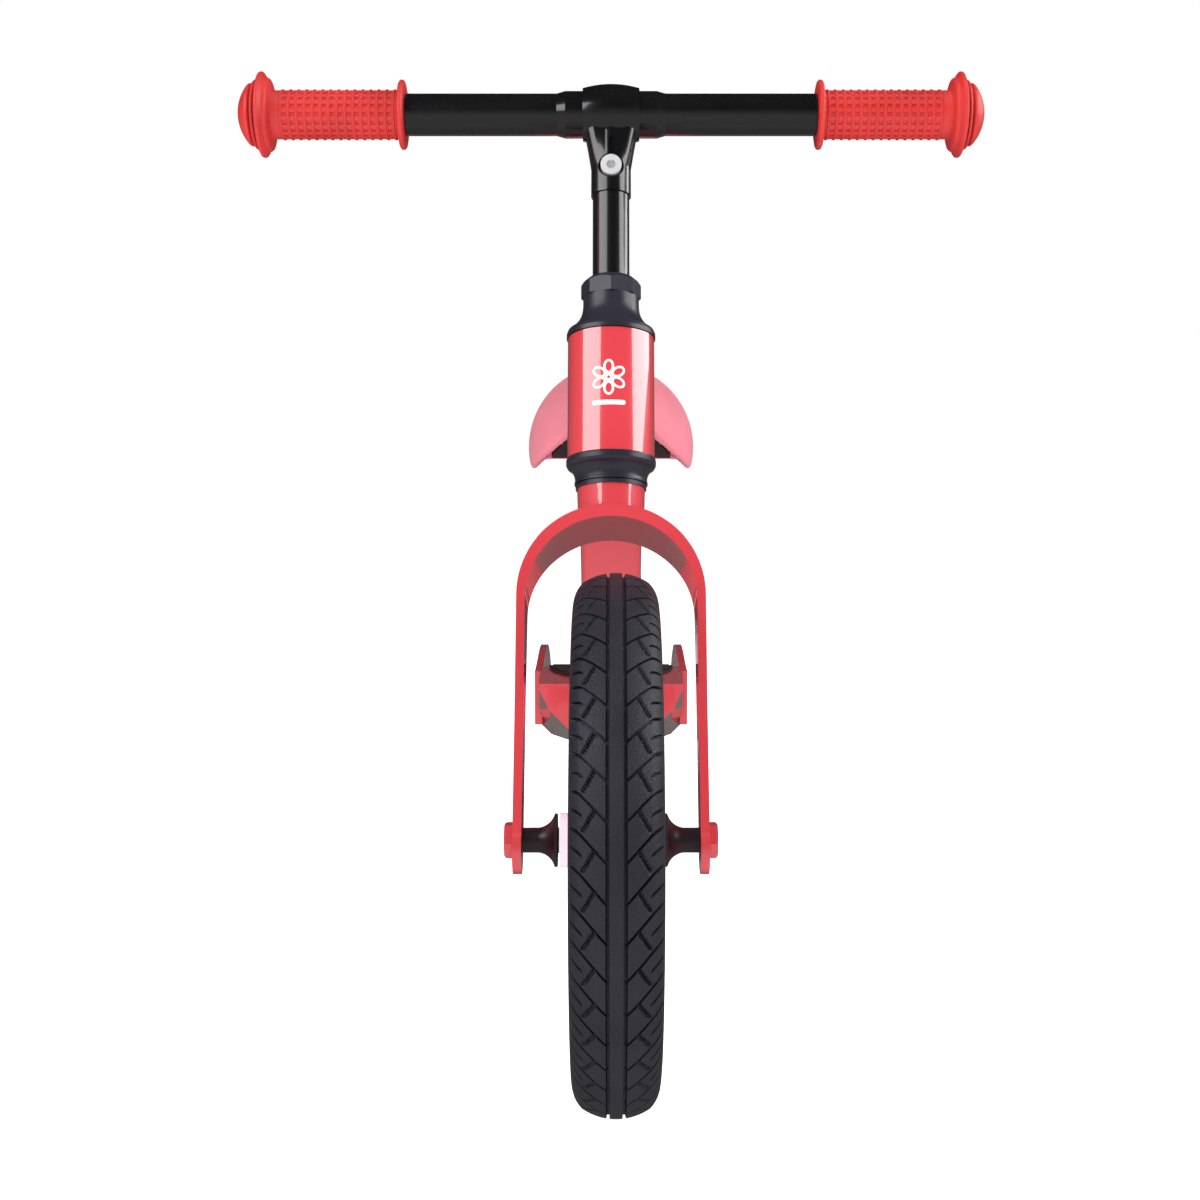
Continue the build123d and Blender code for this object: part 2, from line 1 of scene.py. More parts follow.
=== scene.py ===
"""Looks for a child's balance bike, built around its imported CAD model.

Lengths are in metres, in the frame of the CAD: +Z is up, the bike faces -Y and the rider's left is +X.
Outlines are in millimetres, and MM turns them into metres.
"""
import json
import math

import bmesh
import bpy
import numpy as np
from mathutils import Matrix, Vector


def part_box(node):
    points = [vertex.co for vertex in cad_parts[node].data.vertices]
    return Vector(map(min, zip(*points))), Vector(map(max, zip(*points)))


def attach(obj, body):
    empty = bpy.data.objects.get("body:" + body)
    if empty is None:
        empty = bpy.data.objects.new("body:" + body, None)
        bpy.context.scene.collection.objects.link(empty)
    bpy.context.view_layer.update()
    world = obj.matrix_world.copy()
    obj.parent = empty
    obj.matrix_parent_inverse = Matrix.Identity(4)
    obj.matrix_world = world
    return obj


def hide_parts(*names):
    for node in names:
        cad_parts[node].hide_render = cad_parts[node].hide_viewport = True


MM = 0.001

# Camera, level with the head tube and looking slightly down
CAMERA_AT = (0.0, -1.1652, 0.3277)
CAMERA_PITCH = 4.0
CAMERA_LENS = 51.0
CAMERA_SENSOR = 36.0
CAMERA_SHIFT_X = -0.0092

# Studio. The lights stand round one point. A light is its name, azimuth from the front (positive towards
# +X), elevation, distance, width, height, radiance, and whether shiny surfaces mirror it.
LIGHT_TARGET = Vector((0.0, 0.0, 0.35))
LIGHTS = (
    ("left_box", -53, 30, 1.6, 1.35, 0.75, 4.0, True),
    ("right_box", 89, 27, 1.6, 1.8, 0.75, 5.0, True),
    ("front_top_box", 0, 60, 1.6, 1.4, 0.8, 2.4, False),
    ("top_box", 20, 86, 1.7, 1.3, 1.3, 3.0, False),
)
FLOOR_RADIUS = 9.0
FLOOR_GLOW = 1.0
# Strength of the backdrop's light, from below and above, from the front and back, and in reflections
FILL_BELOW_ABOVE = (2.7, 0.30)
FILL_FRONT_BACK = (1.0, 0.4)
FILL_REFLECTED = 0.16
FILL_COLOUR = (1.0, 0.98, 0.99, 1.0)

# Tyre
TREAD_PITCHES = 48
TYRE_OUTER_R = 140.0
CROWN_ARC_R = 31.4
CROWN_HALF_WIDTH = 17.0
CENTRE_ROW_X = 1.4
TREAD_ROWS_FROM = 5.8
TREAD_ROWS = 15
SHOULDER_ARC = ((21.4, 128.0), (21.7, 119.0))       # middle and end, as x and radius
SHOULDER_ROWS = 17
WALL_ARC = ((19.4, 111.0), (11.4, 104.72))
WALL_ROWS = 6
SEAT = (11.4, 101.6)
RIB_GROOVE = (3.2, 3.5, 4.7, 5.0)
RIB_GROOVE_HALF = 0.6
RIB_GROOVE_WALL = 0.3
GROOVE_START = 4.1
GROOVE_SLOPE = 1.1
SHOULDER_RISE = 3.8
SHOULDER_END = 25.0
SHOULDER_FADE = 1.5
RIB_GROOVE_DEPTH = 2.0
MAIN_GROOVE_DEPTH = 2.3
MAIN_GROOVE_HALF = 0.8
DASH_DEPTH = 1.9
DASH_HALF = 0.7
DASH_START = 16.0
DASH_FADE = 0.6
BRANCH_FROM = 9.6
BRANCH_TO = 15.2
BRANCH_DROP = 9.0
BRANCH_HALF = 0.55
BRANCH_DEPTH = 2.2
GROOVE_WALL = 0.3

# Grip
GRIP_BORE_R = 12.05
GRIP_BODY_R = 13.8
GRIP_RIBS = 15
GRIP_RIB_PITCH = 4.65
GRIP_RIB_START = 125.4
GRIP_RIB_RISE = 0.55
GRIP_PITS_ROUND = 18
GRIP_PIT_DEPTH = 0.75
# Rise of a rib and depth of a pit, each by the distance from the rib's middle and as a part of the whole
GRIP_RIB_SHAPE = ((-0.75, 0.0), (-0.4, 1.0), (0.4, 1.0), (0.75, 0.0))
GRIP_PIT_SHAPE = ((1.15, 0.0), (1.4, 1.0), (3.25, 1.0), (3.5, 0.0))
# Depth of a pit by the place round the grip, as a part of the pitch between pits
GRIP_PIT_ROUND = ((0.0, 0.0), (0.25, 0.0), (0.30, 1.0), (0.5, 1.0), (0.70, 1.0), (0.75, 0.0))
GRIP_DOME_ROWS = 10
GRIP_DOME_END = 10.3    # the last row of the dome stops this side of its pole, which the cap closes
GRIP_INNER_FLANGE = (
    (119.5, 13.0), (119.5, 17.6), (119.8, 19.0), (120.5, 19.7), (121.4, 19.8), (122.2, 19.5),
    (122.8, 18.6), (123.1, 17.0), (123.4, 15.0), (124.0, 14.0), (124.6, 13.8),
)
GRIP_OUTER_FLANGE = (
    (195.4, 13.8), (196.2, 14.1), (196.9, 15.6), (197.4, 18.6), (197.9, 20.2), (198.8, 20.9),
    (199.8, 21.0), (200.5, 21.8), (201.1, 23.4), (201.8, 24.2), (202.6, 24.3), (203.4, 24.0),
    (204.1, 22.6), (204.4, 20.2), (204.7, 18.2), (205.1, 18.2), (205.5, 19.4), (206.3, 19.7),
    (207.0, 19.2), (207.4, 17.0), (207.8, 16.4), (208.2, 17.3), (208.9, 17.8), (209.8, 17.7),
    (210.7, 17.0),
)
GRIP_END = 217.0
GRIP_BORE_END = 213.0

# Steering axis, from the top of the fork
STEER_ORIGIN = Vector((0.0, -0.215353, 0.308147))
STEER_TILT = 14.0
HEAD_TUBE_R = 24.5

# Printed flower and bar on the head tube: heights are along the steering axis
FLOWER_HEIGHT = 73.2
FLOWER_R = 9.6
FLOWER_PETALS = 6
PETAL_HALF_LENGTH = 0.36 * FLOWER_R
PETAL_HALF_WIDTH = 0.25 * FLOWER_R
PETAL_POINTS = 28
EYE_R = 1.5
EYE_POINTS = 23
FLOWER_STROKE = 1.25
PRINT_BAR_HEIGHT = 58.8
PRINT_BAR_SIZE = (19.0, 2.6)
PRINT_THICKNESS = 0.12
PRINT_SINK = 0.05
PRINT_ACROSS = -1.3

# Saddle cover
SADDLE_VOXEL = 2.4
SADDLE_SMOOTHING = 8

# Foot pads
PAD_CENTRE_Y = 128.0
PAD_HALF_WIDTH = 47.0
PAD_HALF_LENGTH = 84.0
PAD_BASE = (186.0, 187.6)
PAD_TOP = 189.0
PAD_INNER_X = 18.0
PAD_RIB_PITCH = 6.0
PAD_RIB_WIDTH = 3.0
PAD_FIRST_RIB = 9.0     # from the front tip
PAD_MARGIN = 2.5        # left bare round the ribs
PAD_LEAST_RIB = 3.0
PAD_RIB_SINK = 0.2
PAD_OUTLINE_POINTS = 28
PAD_EDGE_RADIUS = 0.5


# ---------------------------------------------------------------- materials

def screen(red, green, blue):
    """The linear colour of a 0 to 255 screen colour."""
    parts = [c / 255 for c in (red, green, blue)]
    linear = [c / 12.92 if c < 0.04 else ((c + 0.055) / 1.055) ** 2.4 for c in parts]
    return (*linear, 1.0)


def shaded(colour, factor):
    """A colour made darker or lighter."""
    return (colour[0] * factor, colour[1] * factor, colour[2] * factor, 1.0)


def noise(tree, coords, scale, detail=3.0):
    """The value of a noise texture."""
    node = tree.nodes.new("ShaderNodeTexNoise")
    node.inputs["Scale"].default_value = scale
    node.inputs["Detail"].default_value = detail
    tree.links.new(coords, node.inputs["Vector"])
    return node.outputs["Fac"]


def spread(tree, value, low, high, start=0.3, end=0.7):
    """A 0 to 1 texture value spread over low to high."""
    node = tree.nodes.new("ShaderNodeMapRange")
    node.inputs["From Min"].default_value = start
    node.inputs["From Max"].default_value = end
    node.inputs["To Min"].default_value = low
    node.inputs["To Max"].default_value = high
    tree.links.new(value, node.inputs["Value"])
    return node.outputs["Result"]


def mixed(tree, factor, first, second):
    """Two colours mixed by a factor. Each is a colour or another node's output."""
    node = tree.nodes.new("ShaderNodeMix")
    node.data_type = "RGBA"
    tree.links.new(factor, node.inputs[0])
    for socket, value in ((node.inputs[6], first), (node.inputs[7], second)):
        if isinstance(value, tuple):
            socket.default_value = value
        else:
            tree.links.new(value, socket)
    return node.outputs[2]


def bumped(tree, height, strength, distance, under=None):
    """The normal of a surface raised by a texture, over another bump if there is one."""
    node = tree.nodes.new("ShaderNodeBump")
    node.inputs["Strength"].default_value = strength
    node.inputs["Distance"].default_value = distance
    tree.links.new(height, node.inputs["Height"])
    if under is not None:
        tree.links.new(under, node.inputs["Normal"])
    return node.outputs["Normal"]


def surface(name, colour, rough, patch=18.0, grain=900.0, grain_depth=0.02, vary=0.06, **sockets):
    """A surface with slow changes of colour and roughness, and a fine grain."""
    material = bpy.data.materials.new(name)
    material.use_nodes = True
    tree = material.node_tree
    shader = tree.nodes["Principled BSDF"]
    for socket, value in sockets.items():
        shader.inputs[socket.replace("_", " ")].default_value = value
    coords = tree.nodes.new("ShaderNodeTexCoord").outputs["Object"]
    slow = noise(tree, coords, patch)
    fine = noise(tree, coords, grain, 4.0)
    base = mixed(tree, spread(tree, slow, 0.0, 1.0), shaded(colour, 1 - vary), shaded(colour, 1 + vary))
    tree.links.new(base, shader.inputs["Base Color"])
    tree.links.new(spread(tree, slow, rough[0], rough[1]), shader.inputs["Roughness"])
    tree.links.new(bumped(tree, fine, grain_depth, 0.001), shader.inputs["Normal"])
    return material


def rubber(name, colour, rough, grain, grain_depth):
    """Moulded rubber: speckled, with a fine matt grain over slow unevenness."""
    material = surface(name, colour, rough, patch=30.0, grain=grain, grain_depth=grain_depth, vary=0.10)
    tree = material.node_tree
    shader = tree.nodes["Principled BSDF"]
    shader.inputs["Specular IOR Level"].default_value = 0.4
    coords = tree.nodes["Texture Coordinate"].outputs["Object"]
    slow = noise(tree, coords, 140.0, 2.0)
    fine = shader.inputs["Normal"].links[0].from_socket
    tree.links.new(bumped(tree, slow, 0.05, 0.002, under=fine), shader.inputs["Normal"])
    return material


def leather(name, colour, rough):
    """Soft coated fabric with a pebbled grain made of small cells."""
    material = surface(name, colour, rough, patch=14.0, grain=1200.0, grain_depth=0.03, vary=0.05,
                       Sheen_Weight=0.12, Sheen_Roughness=0.5)
    tree = material.node_tree
    shader = tree.nodes["Principled BSDF"]
    coords = tree.nodes["Texture Coordinate"].outputs["Object"]
    cells = tree.nodes.new("ShaderNodeTexVoronoi")
    cells.inputs["Scale"].default_value = 700.0
    tree.links.new(coords, cells.inputs["Vector"])
    fine = shader.inputs["Normal"].links[0].from_socket
    pebbles = bumped(tree, cells.outputs["Distance"], 0.12, 0.0006, under=fine)
    tree.links.new(pebbles, shader.inputs["Normal"])
    return material


def brushed(name, colour, rough, stretch, metallic=1.0):
    """Metal with turning marks: noise drawn out across the X axis."""
    material = surface(name, colour, rough, patch=60.0, grain=1500.0, grain_depth=0.01, vary=0.04,
                       Metallic=metallic)
    tree = material.node_tree
    shader = tree.nodes["Principled BSDF"]
    coords = tree.nodes["Texture Coordinate"].outputs["Object"]
    mapping = tree.nodes.new("ShaderNodeMapping")
    mapping.inputs["Scale"].default_value = stretch
    tree.links.new(coords, mapping.inputs["Vector"])
    marks = noise(tree, mapping.outputs["Vector"], 1.0, 2.0)
    fine = shader.inputs["Normal"].links[0].from_socket
    tree.links.new(bumped(tree, marks, 0.06, 0.0004, under=fine), shader.inputs["Normal"])
    return material


def make_materials():
    """One material for each slot of the record."""
    coral = screen(206, 60, 68)
    return {
        "coral_paint": surface("coral_paint", coral, (0.20, 0.28), grain_depth=0.015, vary=0.03,
                               Coat_Weight=1.0, Coat_Roughness=0.04, Coat_IOR=1.8),
        "black_paint": surface("black_paint", screen(9, 10, 12), (0.22, 0.32), grain_depth=0.015,
                               Coat_Weight=0.7, Coat_Roughness=0.06),
        "satin_black": surface("satin_black", screen(38, 37, 48), (0.30, 0.38), grain_depth=0.03),
        "bearing_steel": brushed("bearing_steel", screen(205, 205, 208), (0.18, 0.26), (300, 1500, 1500)),
        "bolt_steel": brushed("bolt_steel", screen(214, 214, 216), (0.16, 0.26), (300, 1500, 1500), 0.35),
        "axle_steel": brushed("axle_steel", screen(190, 190, 194), (0.28, 0.38), (2500, 200, 200)),
        "collet_brass": brushed("collet_brass", screen(214, 180, 110), (0.25, 0.35), (300, 1500, 1500)),
        "grip_rubber": rubber("grip_rubber", screen(184, 38, 35), (0.42, 0.54), 1800.0, 0.10),
        "pad_rubber": rubber("pad_rubber", screen(36, 24, 28), (0.60, 0.75), 1500.0, 0.18),
        "tyre_rubber": rubber("tyre_rubber", screen(36, 35, 44), (0.36, 0.55), 1100.0, 0.5),
        "wheel_pink": surface("wheel_pink", screen(243, 216, 225), (0.34, 0.44), grain_depth=0.03,
                              vary=0.03, Subsurface_Weight=0.05),
        "spacer_black": surface("spacer_black", screen(30, 20, 24), (0.34, 0.44), grain_depth=0.05),
        "saddle_skin": leather("saddle_skin", screen(206, 106, 122), (0.44, 0.56)),
        "saddle_plastic": surface("saddle_plastic", screen(52, 30, 32), (0.50, 0.62), grain_depth=0.12),
    }


def make_print_material():
    """White printing ink under the clear coat of the paint."""
    return surface("white_print", screen(250, 240, 240), (0.30, 0.40), grain_depth=0.02, vary=0.02,
                   Coat_Weight=1.0, Coat_Roughness=0.05)


# ---------------------------------------------------------------- mesh helpers

def grid_piece(name, points, wrap_rows=False, caps=False, sharp=35.0):
    """A piece from a grid of points whose columns close on themselves. Caps close its first and last row."""
    rows, columns = points.shape[:2]
    index = np.arange(rows * columns).reshape(rows, columns)
    below = np.roll(index, -1, axis=0)
    faces = np.stack([index, np.roll(index, -1, axis=1), np.roll(below, -1, axis=1), below], axis=-1)
    if not wrap_rows:
        faces = faces[:-1]
    face_list = faces.reshape(-1, 4).tolist()
    if caps:
        face_list += [index[0].tolist(), index[-1].tolist()]
    mesh = bpy.data.meshes.new(name)
    mesh.from_pydata(points.reshape(-1, 3).tolist(), [], face_list)
    return finished(name, mesh, sharp)


def finished(name, mesh, sharp=35.0):
    """An object from a mesh, with its faces turned outwards and its smooth shading cut at sharp edges."""
    work = bmesh.new()
    work.from_mesh(mesh)
    bmesh.ops.recalc_face_normals(work, faces=work.faces)
    work.to_mesh(mesh)
    work.free()
    mesh.shade_smooth()
    mesh.set_sharp_from_angle(angle=math.radians(sharp))
    piece = bpy.data.objects.new(name, mesh)
    bpy.context.collection.objects.link(piece)
    return piece


def dressed(piece, materials, slot, body, *nodes):
    """Gives a new piece its material and body, and hides the CAD nodes that it stands for."""
    piece.data.materials.clear()
    piece.data.materials.append(materials[slot])
    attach(piece, body)
    if nodes:
        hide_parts(*nodes)
    return piece


def arc_points(start, middle, end, count):
    """Points after start along the circle through three points, up to end."""
    (ax, ay), (bx, by), (cx, cy) = start, middle, end
    d = 2 * (ax * (by - cy) + bx * (cy - ay) + cx * (ay - by))
    ux = ((ax**2 + ay**2) * (by - cy) + (bx**2 + by**2) * (cy - ay) + (cx**2 + cy**2) * (ay - by)) / d
    uy = ((ax**2 + ay**2) * (cx - bx) + (bx**2 + by**2) * (ax - cx) + (cx**2 + cy**2) * (bx - ax)) / d
    first = math.atan2(ay - uy, ax - ux)
    last = math.atan2(cy - uy, cx - ux)
    turn = (last - first + math.pi) % (2 * math.pi) - math.pi
    radius = math.hypot(ax - ux, ay - uy)
    angles = [first + turn * i / count for i in range(1, count + 1)]
    return [(ux + radius * math.cos(a), uy + radius * math.sin(a)) for a in angles]


# ---------------------------------------------------------------- tyres

def tyre_section():
    """One side of the tyre's section, from the crown to the seat: x, radius and distance along the tread."""
    crown_x = [0.0, CENTRE_ROW_X, *RIB_GROOVE[:2], GROOVE_START, *RIB_GROOVE[2:]]
    crown_x += list(np.linspace(TREAD_ROWS_FROM, CROWN_HALF_WIDTH, TREAD_ROWS))
    centre_r = TYRE_OUTER_R - CROWN_ARC_R
    crown = [(x, centre_r + math.sqrt(CROWN_ARC_R**2 - x**2)) for x in crown_x]
    shoulder = arc_points(crown[-1], *SHOULDER_ARC, SHOULDER_ROWS)
    side = arc_points(shoulder[-1], *WALL_ARC, WALL_ROWS) + [SEAT]
    section = np.array(crown + shoulder + side)
    steps = np.hypot(*np.diff(section[len(crown) - 1:], axis=0).T)
    along = np.array(crown_x + list(CROWN_HALF_WIDTH + np.cumsum(steps)))
    return section, along


def tread_columns():
    """Places of the mesh columns within one pitch of the tread, as fractions, with edges at the grooves."""
    pitch = 2 * math.pi * TYRE_OUTER_R / TREAD_PITCHES
    main = [MAIN_GROOVE_HALF + GROOVE_WALL / 2, MAIN_GROOVE_HALF - GROOVE_WALL / 2]
    dash = [DASH_HALF + GROOVE_WALL / 2, DASH_HALF - GROOVE_WALL / 2]
    half = pitch / 2
    low, high = main[0], half - dash[0]
    between = [low + (high - low) * i / 7 for i in range(1, 7)]
    one = [0.0, main[1], main[0], *between, half - dash[0], half - dash[1], half]
    other = [pitch - v for v in reversed(one[1:-1])]
    return np.array(one + other), pitch


def groove(distance, half):
    """1 inside a groove, 0 outside it, with a short sloping wall."""
    return np.clip((half + GROOVE_WALL / 2 - distance) / GROOVE_WALL, 0, 1)


def groove_rise(along):
    """How far round the tyre the main groove has climbed at a distance from the crown."""
    climb = GROOVE_SLOPE * (np.minimum(along, CROWN_HALF_WIDTH) - GROOVE_START)
    past_crown = np.clip(along, CROWN_HALF_WIDTH, SHOULDER_END) - CROWN_HALF_WIDTH
    outer = past_crown / (SHOULDER_END - CROWN_HALF_WIDTH)
    return np.maximum(climb, 0) + SHOULDER_RISE * outer


def branch_distance(along, place, pitch):
    """Distance to the nearest branch sipe, which leaves the main groove outwards and downwards."""
    start = np.array([BRANCH_FROM, groove_rise(np.array(BRANCH_FROM))])
    step = np.array([BRANCH_TO - BRANCH_FROM, -BRANCH_DROP])
    nearest = np.full(place.shape, 1e3)
    for turn in (-1, 0, 1, 2):
        px = along - start[0]
        py = place - start[1] - turn * pitch
        t = np.clip((px * step[0] + py * step[1]) / (step @ step), 0, 1)
        nearest = np.minimum(nearest, np.hypot(px - t * step[0], py - t * step[1]))
    return nearest


def tread_depth(along, columns, pitch):
    """Depth of the tread at every row and column of one pitch."""
    along = along[:, None]
    columns = columns[None, :]
    place = columns + groove_rise(along)
    from_main = np.minimum(columns, pitch - columns)
    from_dash = np.abs(columns - pitch / 2)
    on_shoulder = np.clip((SHOULDER_END - along) / SHOULDER_FADE, 0, 1)
    rib = np.clip(1 - (np.abs(along - GROOVE_START) - RIB_GROOVE_HALF) / RIB_GROOVE_WALL, 0, 1)
    main = groove(from_main, MAIN_GROOVE_HALF) * (along >= GROOVE_START) * on_shoulder
    dash = groove(from_dash, DASH_HALF) * np.clip((along - DASH_START) / DASH_FADE, 0, 1) * on_shoulder
    branch = groove(branch_distance(along, place, pitch), BRANCH_HALF)
    depths = (rib * RIB_GROOVE_DEPTH + 0 * columns, main * MAIN_GROOVE_DEPTH, dash * DASH_DEPTH,
              branch * BRANCH_DEPTH)
    return np.maximum.reduce(depths)


def make_tyre(name, centre):
    """A tyre with a smooth centre rib between two grooves, and slanting grooves and sipes on each side."""
    section, along = tyre_section()
    columns, pitch = tread_columns()
    slope = np.gradient(section, axis=0)
    normal = np.stack([-slope[:, 1], slope[:, 0]], axis=1)
    normal /= np.linalg.norm(normal, axis=1)[:, None]
    normal[0] = (0.0, 1.0)
    depth = tread_depth(along, columns, pitch)
    x = section[:, 0, None] - depth * normal[:, 0, None]
    r = section[:, 1, None] - depth * normal[:, 1, None]
    angle = (columns[None, :] + groove_rise(along)[:, None]) / TYRE_OUTER_R
    turns = np.arange(TREAD_PITCHES) * pitch / TYRE_OUTER_R
    full = (angle[:, None, :] + turns[None, :, None]).reshape(len(along), -1)
    x = np.tile(x, (1, TREAD_PITCHES))
    r = np.tile(r, (1, TREAD_PITCHES))
    one_side = np.stack([x, -r * np.cos(full), r * np.sin(full)], axis=-1)
    other_side = one_side[1:][::-1] * (-1, 1, 1)
    points = np.concatenate([other_side, one_side]) * MM + np.array(centre)
    return grid_piece(name, points, wrap_rows=True, sharp=40.0)


# ---------------------------------------------------------------- grips

def grip_rows():
    """The grip's outline as x and radius, with how much of a pit each row has."""
    rows = [(GRIP_BORE_END, GRIP_BORE_R, 0.0), (GRIP_INNER_FLANGE[0][0], GRIP_BORE_R, 0.0)]
    rows += [(x, r, 0.0) for x, r in GRIP_INNER_FLANGE]
    for k in range(GRIP_RIBS):
        x = GRIP_RIB_START + k * GRIP_RIB_PITCH
        rows += [(x + dx, GRIP_BODY_R + rise * GRIP_RIB_RISE, 0.0) for dx, rise in GRIP_RIB_SHAPE]
        if k < GRIP_RIBS - 1:
            rows += [(x + dx, GRIP_BODY_R, pit) for dx, pit in GRIP_PIT_SHAPE]
    rows += [(x, r, 0.0) for x, r in GRIP_OUTER_FLANGE]
    edge_x, edge_r = GRIP_OUTER_FLANGE[-1]
    dome_h = GRIP_END - edge_x
    dome_r = (edge_r**2 + dome_h**2) / (2 * dome_h)
    widest = math.asin(edge_r / dome_r)
    for i in range(1, GRIP_DOME_ROWS + 1):
        a = widest * (1 - i / GRIP_DOME_END)
        rows.append((GRIP_END - dome_r * (1 - math.cos(a)), dome_r * math.sin(a), 0.0))
    return np.array(rows)


def grip_columns():
    """Angles round the grip, with how much of a pit each column has."""
    step = 2 * math.pi / GRIP_PITS_ROUND
    return np.array([((k + f) * step, pit) for k in range(GRIP_PITS_ROUND) for f, pit in GRIP_PIT_ROUND])


def make_grip(name, side, centre):
    """A closed rubber grip: ribs round it, rows of square pits between them, and a flange at each end."""
    rows = grip_rows()
    columns = grip_columns()
    x = np.repeat(rows[:, 0, None], len(columns), axis=1) * side
    r = rows[:, 1, None] - GRIP_PIT_DEPTH * rows[:, 2, None] * columns[None, :, 1]
    angle = columns[None, :, 0]
    points = np.stack([x, r * np.cos(angle), r * np.sin(angle)], axis=-1) * MM
    points[..., 1] += centre[1]
    points[..., 2] += centre[2]
    return grid_piece(name, points, caps=True, sharp=38.0)


# ---------------------------------------------------------------- saddle

def make_saddle_cover(frame):
    """The padded cover: the CAD foam body remeshed fine, its edges eased into soft rolls."""
    mesh = frame["nodes"]["saddle_cover"].data.copy()
    piece = bpy.data.objects.new("saddle_pad", mesh)
    bpy.context.collection.objects.link(piece)
    remesh = piece.modifiers.new("even", "REMESH")
    remesh.mode = "VOXEL"
    remesh.voxel_size = SADDLE_VOXEL * MM
    ease = piece.modifiers.new("ease", "SMOOTH")
    ease.factor = 0.5
    ease.iterations = SADDLE_SMOOTHING
    fine = piece.modifiers.new("fine", "SUBSURF")
    fine.levels = 1
    fine.render_levels = 1
    graph = bpy.context.evaluated_depsgraph_get()
    shaped = bpy.data.meshes.new_from_object(piece.evaluated_get(graph))
    piece.modifiers.clear()
    piece.data = shaped
    shaped.shade_smooth()
    return piece


# ---------------------------------------------------------------- foot pads

def pad_edge(y):
    """Half the width of the oval pad at a distance along the bike."""
    part = (y - PAD_CENTRE_Y) / PAD_HALF_LENGTH
    return PAD_HALF_WIDTH * math.sqrt(max(0.0, 1 - part * part))


def add_block(work, outline, low, high):
    """A prism on a flat outline."""
    bottom = [work.verts.new((x * MM, y * MM, low * MM)) for x, y in outline]
    top = [work.verts.new((x * MM, y * MM, high * MM)) for x, y in outline]
    work.faces.new(bottom[::-1])
    work.faces.new(top)
    for i in range(len(outline)):
        j = (i + 1) % len(outline)
        work.faces.new((bottom[i], bottom[j], top[j], top[i]))


def make_foot_pad(name, side):
    """A rubber pad in the shape of a quarter oval, with raised ribs across it."""
    work = bmesh.new()
    front_y = PAD_CENTRE_Y - PAD_HALF_LENGTH * math.sqrt(1 - (PAD_INNER_X / PAD_HALF_WIDTH) ** 2)
    ys = np.linspace(front_y, PAD_CENTRE_Y, PAD_OUTLINE_POINTS)
    outline = [(side * PAD_INNER_X, PAD_CENTRE_Y)]
    outline += [(side * max(pad_edge(y), PAD_INNER_X), y) for y in ys]
    add_block(work, outline, *PAD_BASE)
    y = front_y + PAD_FIRST_RIB
    inner = PAD_INNER_X + PAD_MARGIN
    while y < PAD_CENTRE_Y - PAD_RIB_WIDTH:
        front, back = y - PAD_RIB_WIDTH / 2, y + PAD_RIB_WIDTH / 2
        reach = pad_edge(front) - PAD_MARGIN
        if reach > inner + PAD_LEAST_RIB:
            rib = [(side * inner, front), (side * reach, front), (side * reach, back), (side * inner, back)]
            add_block(work, rib, PAD_BASE[1] - PAD_RIB_SINK, PAD_TOP)
        y += PAD_RIB_PITCH
    mesh = bpy.data.meshes.new(name)
    work.to_mesh(mesh)
    work.free()
    piece = finished(name, mesh, 30.0)
    bevel = piece.modifiers.new("soft_edges", "BEVEL")
    bevel.width = PAD_EDGE_RADIUS * MM
    bevel.segments = 2
    bevel.limit_method = "ANGLE"
    return piece


# ---------------------------------------------------------------- printed mark

def on_head_tube(across, height, radius):
    """A point on a cylinder round the steering axis, from a distance across its front and a height."""
    tilt = math.radians(STEER_TILT)
    up = Vector((0.0, math.sin(tilt), math.cos(tilt)))
    front = Vector((0.0, -math.cos(tilt), math.sin(tilt)))
    angle = (across + PRINT_ACROSS) / radius
    side = Vector((math.sin(angle), 0.0, 0.0)) + front * math.cos(angle)
    return STEER_ORIGIN + up * (height * MM) + side * (radius * MM)


def stroke(work, path, width):
    """A thin raised line of ink along a closed path of points across and up the tube."""
    count = len(path)
    loops = []
    for i, (u, h) in enumerate(path):
        before, after = path[i - 1], path[(i + 1) % count]
        du, dh = after[0] - before[0], after[1] - before[1]
        length = math.hypot(du, dh)
        nu, nh = -dh / length * width / 2, du / length * width / 2
        corners = ((u + nu, h + nh), (u - nu, h - nh))
        under = [on_head_tube(a, b, HEAD_TUBE_R - PRINT_SINK) for a, b in corners]
        over = [on_head_tube(a, b, HEAD_TUBE_R + PRINT_THICKNESS) for a, b in reversed(corners)]
        loop = [work.verts.new(point) for point in under + over]
        loops.append(loop)
    for i, loop in enumerate(loops):
        following = loops[(i + 1) % count]
        for j in range(4):
            k = (j + 1) % 4
            work.faces.new((loop[j], loop[k], following[k], following[j]))


def petal_path(lean):
    """An oval petal that points out of the flower's middle at an angle from straight up."""
    out = FLOWER_R - PETAL_HALF_LENGTH
    path = []
    for i in range(PETAL_POINTS):
        a = 2 * math.pi * i / PETAL_POINTS
        along = out + PETAL_HALF_LENGTH * math.cos(a)
        aside = PETAL_HALF_WIDTH * math.sin(a)
        path.append((along * math.sin(lean) + aside * math.cos(lean),
                     FLOWER_HEIGHT + along * math.cos(lean) - aside * math.sin(lean)))
    return path


def eye_path():
    """The ring in the middle of the flower."""
    angles = np.linspace(0, 2 * math.pi, EYE_POINTS + 1)[:-1]
    return [(EYE_R * math.cos(a), FLOWER_HEIGHT + EYE_R * math.sin(a)) for a in angles]


